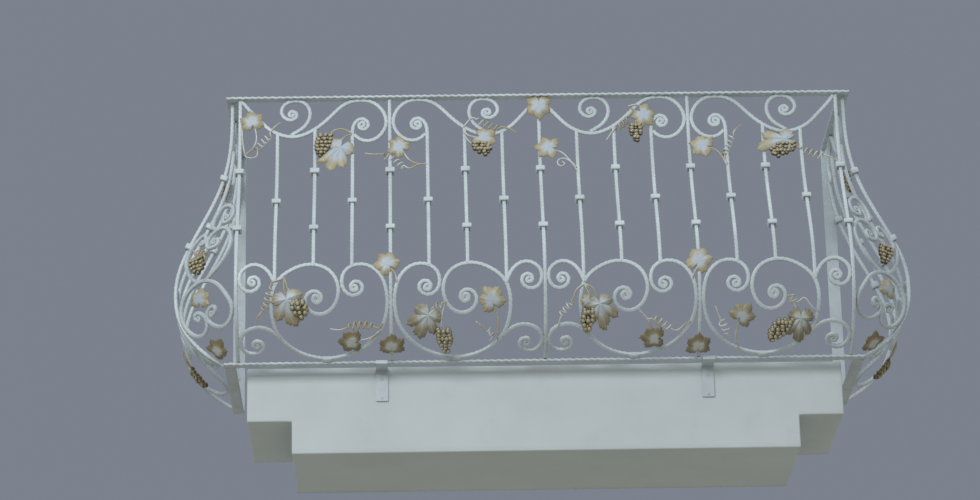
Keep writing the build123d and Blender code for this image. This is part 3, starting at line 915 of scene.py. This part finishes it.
def leafPlate(seed, panel, along, down, width, height, turn, kind="cupped"):
    form = leafForms[kind]
    bm = bmesh.new()
    edgeShare = bm.verts.layers.float.new("edgeShare")
    veinShare = bm.verts.layers.float.new("veinShare")
    footShade = bm.verts.layers.float.new("footShade")
    for vert in bmesh.ops.create_circle(bm, segments=leaves["segments"], radius=1.0)["verts"]:
        vert[edgeShare] = 1.0
    rim = bm.edges[:]
    for ring in range(leaves["rings"] - 1):
        inner = bmesh.ops.extrude_edge_only(bm, edges=rim)["geom"]
        verts = [g for g in inner if isinstance(g, bmesh.types.BMVert)]
        rim = [g for g in inner if isinstance(g, bmesh.types.BMEdge) and all(v in verts for v in g.verts)]
        left = 1 - (ring + 1) / leaves["rings"]
        for vert in verts:
            vert.co = vert.co.normalized() * left
            vert[edgeShare] = left
    bmesh.ops.edgeloop_fill(bm, edges=rim)
    cap = max(bm.faces, key=lambda f: len(f.verts))
    bmesh.ops.poke(bm, faces=[cap])["verts"][0][edgeShare] = 0.0

    far = np.array([v[edgeShare] for v in bm.verts])
    spots = spotsOf(bm)
    angle = np.degrees(np.arctan2(-spots[:, 0], spots[:, 1]))
    off = abs(angle)
    rough = np.array([noise.noise(Vector((a * 0.035, seed * 3.1, 0))) for a in angle])
    outline = np.array(leafOutlines[kind])
    lobes = np.array(form["lobes"])
    draw = random.Random(seed)
    grown = np.array([draw.uniform(*leaves["growth"]) for lobe in range(2 * len(lobes))])
    nearest = abs(off[:, None] - lobes).argmin(axis=1) + len(lobes) * (angle > 0)
    fromLobe = abs(off - lobes[nearest % len(lobes)])
    grown = 1 + (grown[nearest] - 1) * np.cos(np.radians(fromLobe * 3)).clip(0)
    radius = np.interp(off, outline[:, 0], outline[:, 1] / 100) * (1 + leaves["uneven"] * rough) * grown
    ridge = np.exp(-(fromLobe * far / leaves["veinWidth"]) ** 2)
    ribs = np.cos(fromLobe * leaves["ribs"][0] - far * leaves["ribs"][1])
    curl, twist = draw.uniform(*form["curl"]), draw.uniform(*form["twist"])
    lift = form["vein"] * ridge * (1.1 - far)
    if kind == "cupped":  # rolled down along its rim
        lift += form["rib"] * ribs * far - curl * np.clip(far * 2 - 0.9, 0, 1.1) ** 1.5
    else:
        lift += form["rib"] * ribs * far * (1.3 - far) - curl * far**2.4
        lift -= leaves["hollow"] * np.clip(fromLobe / 22, 0, 1) * far * (1.3 - far)
    lift += twist * np.sin(np.radians(angle) * 3 + seed) * far**2
    flat = spots[:, :2] * radius[:, None]
    low, high = flat.min(axis=0), flat.max(axis=0)
    flat = (flat - (low + high) / 2) / (high - low) * (width, height)
    white = form["white"] * ridge + 0.25 * np.clip(ribs, 0, 1)
    # how deep in painted shade the leaf is, growing towards the foot of the belly
    shadedFoot = float(np.interp(down / panel["length"], leaves["shadedFoot"], (0, 1)))
    gold, more = leaves["gold"]
    for vert, spot, rise, vein, out in zip(bm.verts, flat, lift, white, radius):
        vert.co = (*spot, rise)
        vert[edgeShare] *= gold + more * out
        vert[veinShare] = vein
        vert[footShade] = shadedFoot
    if sum(f.normal.z for f in bm.faces) < 0:
        bmesh.ops.reverse_faces(bm, faces=bm.faces)
    bmesh.ops.solidify(bm, geom=bm.faces[:], thickness=leaves["thick"])
    turnBy(bm, turn, "Z")
    return hang(bm, panel, along, down, leaves["lift"] - min(v.co.z for v in bm.verts))


plates = [leafPlate(k, *flatSpot(*place[:3]), *place[3:]) for k, place in enumerate(leafPlaces)]
finishPiece("vine_leaf_plates", joined(plates), gildedLeaf, ["vine_leaves"])
print("leaves cut")

grapes = {
    "berry": 8.0,  # mm, half across
    "growth": (0.96, 1.12),
    "across": 1.75,  # from berry to berry, in the same measure
    "down": 1.62,  # from row to row
    "shoulder": 0.8,  # width of the first row
    "taper": 0.75,  # how much narrower the last row is
    "inward": 0.15,  # how much narrower the outer layer is
    "uneven": 1.2,  # mm, and out from the panel
    "unevenOut": 1.5,
    "lift": 9.5,  # mm out from the bars' middle
    "heap": 8.5,  # how far the middle of a bunch stands out
}
# panel, place, width, height, mm that the tail leans to the right
grapePlaces = [
    ("front", 222, 168, 64, 100, -18), ("front", 647, 187, 68, 66, 18), ("front", 1059, 133, 50, 76, 0),
    ("front", 1447, 205, 88, 72, -30), ("front", 163, 811, 64, 72, 16),
    ("front", 538, 917, 58, 102, 10), ("front", 909, 854, 52, 86, -6),
    ("front", 1405, 897, 72, 92, -44), ("right", 160, 230, 56, 84, 0), ("left", 160, 230, 56, 84, 0),
    ("right", 310, 869, 70, 84, 0), ("left", 295, 872, 70, 84, 0),
    ("cornerRight", 60, 627, 72, 82, -34), ("cornerLeft", 63, 637, 78, 74, -30),
]


def bunch(seed, panel, along, down, width, height, lean):
    bm = bmesh.new()
    gildAndPaintedLight = bm.verts.layers.float.new("gildAndPaintedLight")
    draw = random.Random(500 + seed)
    berry, uneven, unevenOut = (grapes[k] for k in ("berry", "uneven", "unevenOut"))
    rows = round((height - 2 * berry) / (berry * grapes["down"])) + 1
    for layer in range(2):
        for row in range(rows - layer):
            share = (row + layer * 0.5) / (rows - 1)
            half = (width / 2 - berry) * (1 - grapes["taper"] * max(0.0, share - 0.5) / 0.5)
            if row == 0:
                half *= grapes["shoulder"]
            reach = half * (1.0 - grapes["inward"] * layer)
            count = max(1, round(2 * reach / (berry * grapes["across"])) + (row + layer) % 2)
            for k in range(count):
                x = 0.0 if count == 1 else reach * (2 * k / (count - 1) - 1)
                bulge = math.sqrt(max(0.0, 1 - (x / (half + berry)) ** 2))
                x += draw.uniform(-uneven, uneven) + lean * (share - 0.5)
                z = (1.0 if layer == 0 else grapes["heap"]) * bulge + draw.uniform(-unevenOut, unevenOut)
                y = height / 2 - berry - share * (height - 2 * berry) + draw.uniform(-uneven, uneven)
                size = berry * draw.uniform(*grapes["growth"])
                made = bmesh.ops.create_uvsphere(bm, u_segments=8, v_segments=6, radius=size,
                                                 matrix=Matrix.Translation((x, y, z)))
                # share of gilt and painted highlight: most on the face out of the panel and on top, less in
                # the back layer, which leaves painted shade in the gaps
                for vert in made["verts"]:
                    way = (vert.co - Vector((x, y, z))) / size
                    vert[gildAndPaintedLight] = max(0.0, abs(way.z) * 0.75 + 0.2 + 0.25 * way.y - 0.12 * (1 - layer))
    return hang(bm, panel, along, down, grapes["lift"])


bunches = [bunch(k, *flatSpot(*place[:3]), *place[3:]) for k, place in enumerate(grapePlaces)]
finishPiece("grape_berries", joined(bunches), gildedGrape, ["grape_clusters"])
print("grapes cast")

tendrils = {
    "wire": 5.6,  # mm across
    "tip": 0.5,  # how far a coil's tip is drawn out, and a plain stem's
    "stemTip": 0.8,
    "tipFade": 30.0,
    "step": 3.2,  # mm between the rings
    "coil": 12.0,  # mm, half across a coil
    "turn": 18.0,  # mm along the coil for each turn
    "turnSteps": 14,
    "open": 9.0,  # mm in which a coil opens and closes
    "lift": 8.0,  # mm out from the bars' middle, and where it is coiled
    "coilLift": -1.5,
    "drop": 6.0,  # mm lower than the points below say, and more where it is coiled
    "coilDrop": 5.0,
}
# panel, places, and which two of them it is coiled between
vines = [
    ("front", [(40, 97), (44, 129), (27, 179), (15, 198), (30, 206), (45, 198), (47, 172), (81, 112),
               (88, 98), (108, 76)], 6, 7),
    ("front", [(5, 97), (7, 140), (13, 193)]),
    ("front", [(298, 117), (275, 103), (250, 108), (238, 128)]),
    ("front", [(298, 121), (280, 130), (268, 155), (266, 180)]),
    ("front", [(333, 193), (360, 197), (377, 196), (438, 243), (450, 254), (470, 242), (497, 236)], 2, 3),
    ("front", [(435, 184), (446, 212), (473, 235), (497, 236)]),
    ("front", [(597, 100), (610, 80), (622, 68), (630, 70), (696, 101), (708, 103), (740, 124)], 3, 4),
    ("front", [(597, 115), (610, 130), (635, 137)]),
    ("front", [(600, 130), (610, 150), (625, 165)]),
    ("front", [(838, 190), (855, 196), (875, 222), (890, 252), (896, 272)]),
    ("front", [(896, 258), (877, 230), (856, 222), (846, 238), (855, 252), (865, 243), (858, 234)]),
    ("front", [(979, 154), (993, 128), (1003, 112), (1042, 66), (1056, 48)], 2, 3),
    ("front", [(1050, 40), (1062, 60), (1060, 85), (1058, 105)]),
    ("front", [(1040, 34), (1065, 28), (1084, 40)]),
    ("front", [(1250, 186), (1270, 196), (1286, 222), (1297, 256)]),
    ("front", [(1298, 250), (1293, 224), (1295, 212), (1320, 132), (1327, 120), (1342, 103)], 2, 3),
    ("front", [(1475, 186), (1495, 190), (1560, 219), (1570, 224), (1590, 244)], 1, 2),
    ("front", [(125, 706), (105, 716), (93, 722), (89, 734), (68, 808), (58, 822), (48, 853)], 3, 4),
    ("front", [(125, 706), (132, 735), (145, 775)]),
    ("front", [(125, 706), (124, 735), (128, 765)]),
    ("front", [(242, 867), (265, 871), (286, 864), (355, 862), (365, 866), (378, 850)], 2, 3),
    ("front", [(315, 908), (344, 900), (372, 876)]),
    ("front", [(400, 680), (412, 700), (416, 724)]),
    ("front", [(542, 786), (534, 790), (510, 802), (500, 812)], 1, 2),
    ("front", [(541, 788), (532, 825), (530, 868)]),
    ("front", [(664, 803), (675, 830), (677, 868), (673, 910)]),
    ("front", [(619, 849), (638, 870), (646, 878), (664, 892), (660, 905), (654, 917)], 2, 3),
    ("front", [(900, 738), (880, 756), (874, 772), (869, 786), (840, 836), (831, 872)], 3, 4),
    ("front", [(900, 738), (912, 752), (911, 775)]),
    ("front", [(900, 738), (920, 748), (932, 780)]),
    ("front", [(900, 738), (916, 790), (912, 825)]),
    ("front", [(1038, 815), (1062, 846), (1078, 890)]),
    ("front", [(1064, 848), (1078, 848), (1126, 882), (1136, 888), (1160, 868), (1176, 856)], 1, 2),
    ("front", [(1197, 686), (1188, 702), (1182, 724)]),
    ("front", [(1302, 862), (1294, 900), (1300, 945), (1312, 972)]),
    ("front", [(1240, 811), (1246, 832), (1253, 850), (1274, 902), (1280, 922)], 2, 3),
    ("front", [(1430, 786), (1442, 803), (1452, 838)]),
    ("front", [(1428, 786), (1432, 778), (1452, 800), (1468, 789), (1485, 808), (1508, 832)], 1, 2),
    ("right", [(100, 150), (125, 165), (155, 190)]),
    ("left", [(100, 150), (125, 165), (155, 190)]),
    ("cornerLeft", [(52, 612), (57, 590), (80, 560), (88, 550)], 1, 2),
    ("cornerRight", [(62, 605), (70, 592), (88, 572), (92, 565)], 1, 2),
]


def wire(panel, line, tip):
    laid = layLine(panel, line, True)
    length = laid["run"][-1]
    bm = bmesh.new()
    half = tendrils["wire"] / 2
    bmesh.ops.create_cone(bm, cap_ends=True, segments=6, radius1=half, radius2=half, depth=length)
    turnBy(bm, 90, "Y")
    bmesh.ops.translate(bm, vec=(length / 2, 0, 0), verts=bm.verts)
    cuts = max(2, int(length / tendrils["step"]))
    bmesh.ops.subdivide_edges(bm, edges=edgesAlong(bm, 0, length / 2), cuts=cuts)
    spots = spotsOf(bm)
    narrow = tip + (1 - tip) * np.clip((length - spots[:, 0]) / tendrils["tipFade"], 0, 1)
    return follow(bm, laid, spots, narrow)


def coiled(line, first, last):
    # winds a part of a line round itself
    run = lengths(line)
    start, stop = run[first * drawnSteps], run[last * drawnSteps]
    at = np.arange(0, run[-1], tendrils["turn"] / tendrils["turnSteps"])
    line = np.stack([np.interp(at, run, row) for row in line.T], axis=1)
    way = np.gradient(line[:, :2], at, axis=0)
    way /= np.linalg.norm(way, axis=1)[:, None]
    turn = 2 * math.pi * (at - start) / tendrils["turn"]
    opened = np.clip((at - start) / tendrils["open"], 0, 1) * np.clip((stop - at) / tendrils["open"], 0, 1)
    wide = tendrils["coil"] * opened
    line[:, 0] -= way[:, 1] * np.cos(turn) * wide
    line[:, 1] += way[:, 0] * np.cos(turn) * wide + tendrils["coilDrop"] * opened
    line[:, 2] += np.sin(turn) * wide + (tendrils["coilLift"] - tendrils["lift"]) * opened
    return line


wires = []
for panelName, points, *turns in vines:
    panel = panels[panelName]
    line = flatLine(panel, [(*point, tendrils["lift"]) for point in drawn(points)])
    line[:, 1] += tendrils["drop"]
    if turns:
        wires.append(wire(panel, coiled(line, *turns), tendrils["tip"]))
    else:
        wires.append(wire(panel, line, tendrils["stemTip"]))
finishPiece("vine_stems_and_tendrils", joined(wires), stemIron)
print("tendrils coiled")

stage = {
    "floor": -9.0,  # metres, so low that the balcony shows from below too
    "floorColour": (0.68, 0.64, 0.54),
    "backdrop": (0.20, 0.225, 0.27),
    "skyColour": (0.93, 0.97, 1.0),
    "sky": 0.52,
}


def floorPlane():
    bm = bmesh.new()
    bmesh.ops.create_grid(bm, x_segments=1, y_segments=1, size=150.0)
    bmesh.ops.translate(bm, vec=(0, 0, stage["floor"]), verts=bm.verts)
    mesh = meshOf("floor", bm)
    material, tree = startMaterial("pale floor")
    coat(tree, stage["floorColour"], 0.9)
    mesh.materials.append(material)
    linked("floor", mesh)


floorPlane()

world = bpy.data.worlds.new("studio")
bpy.context.scene.world = world
world.use_nodes = True
tree = world.node_tree
light = tree.nodes["Background"]
light.inputs["Color"].default_value = (*stage["skyColour"], 1)
light.inputs["Strength"].default_value = stage["sky"]
shown = tree.nodes.new("ShaderNodeBackground")
shown.inputs["Color"].default_value = (*stage["backdrop"], 1)
path = tree.nodes.new("ShaderNodeLightPath")  # the backdrop is only seen, and lights nothing
seen = tree.nodes.new("ShaderNodeMath")
seen.operation = "MAXIMUM"
mix = tree.nodes.new("ShaderNodeMixShader")
for source, socket in (
        (path.outputs["Is Camera Ray"], seen.inputs[0]), (path.outputs["Is Glossy Ray"], seen.inputs[1]),
        (seen.outputs[0], mix.inputs["Fac"]), (light.outputs["Background"], mix.inputs[1]),
        (shown.outputs["Background"], mix.inputs[2]),
        (mix.outputs["Shader"], tree.nodes["World Output"].inputs["Surface"])):
    tree.links.new(source, socket)


def lamp(name, spot, target, size, power):
    data = bpy.data.lights.new(name, "AREA")
    data.shape = "RECTANGLE"
    data.size, data.size_y = size
    data.energy = power
    holder = linked(name, data)
    holder.location = spot
    holder.rotation_euler = (Vector(target) - Vector(spot)).to_track_quat("-Z", "Y").to_euler()


lamp("key", (-2.4, -6.6, 2.6), (0, -0.3, 0.3), (3.5, 2.5), 240)
lamp("top", (1.5, -1.8, 4.6), (0, -0.3, 0.5), (4.0, 2.0), 45)

shot = {
    "place": (-0.42315, -11.08606, -3.38452),
    "yaw": 1.322,  # degrees to the right, up, and round the way it looks
    "pitch": 20.181,
    "roll": -1.187,
    "focal": 3271.8 / 980,  # share of the picture's width
}
yaw, pitch, tilt = (math.radians(shot[k]) for k in ("yaw", "pitch", "roll"))
ahead = Vector((math.sin(yaw) * math.cos(pitch), math.cos(yaw) * math.cos(pitch), math.sin(pitch)))
level = Vector((math.cos(yaw), -math.sin(yaw), 0))
upright = level.cross(ahead)
right = level * math.cos(tilt) + upright * math.sin(tilt)
top = upright * math.cos(tilt) - level * math.sin(tilt)
view = bpy.data.cameras.new("camera")
view.sensor_width = 36
view.lens = shot["focal"] * view.sensor_width
view.clip_start, view.clip_end = 0.1, 400
camera = linked("camera", view)
camera.matrix_world = Matrix.Translation(shot["place"]) @ Matrix((right, top, -ahead)).transposed().to_4x4()
bpy.context.scene.camera = camera
bpy.context.scene.view_settings.view_transform = "Standard"

print("scene ready")
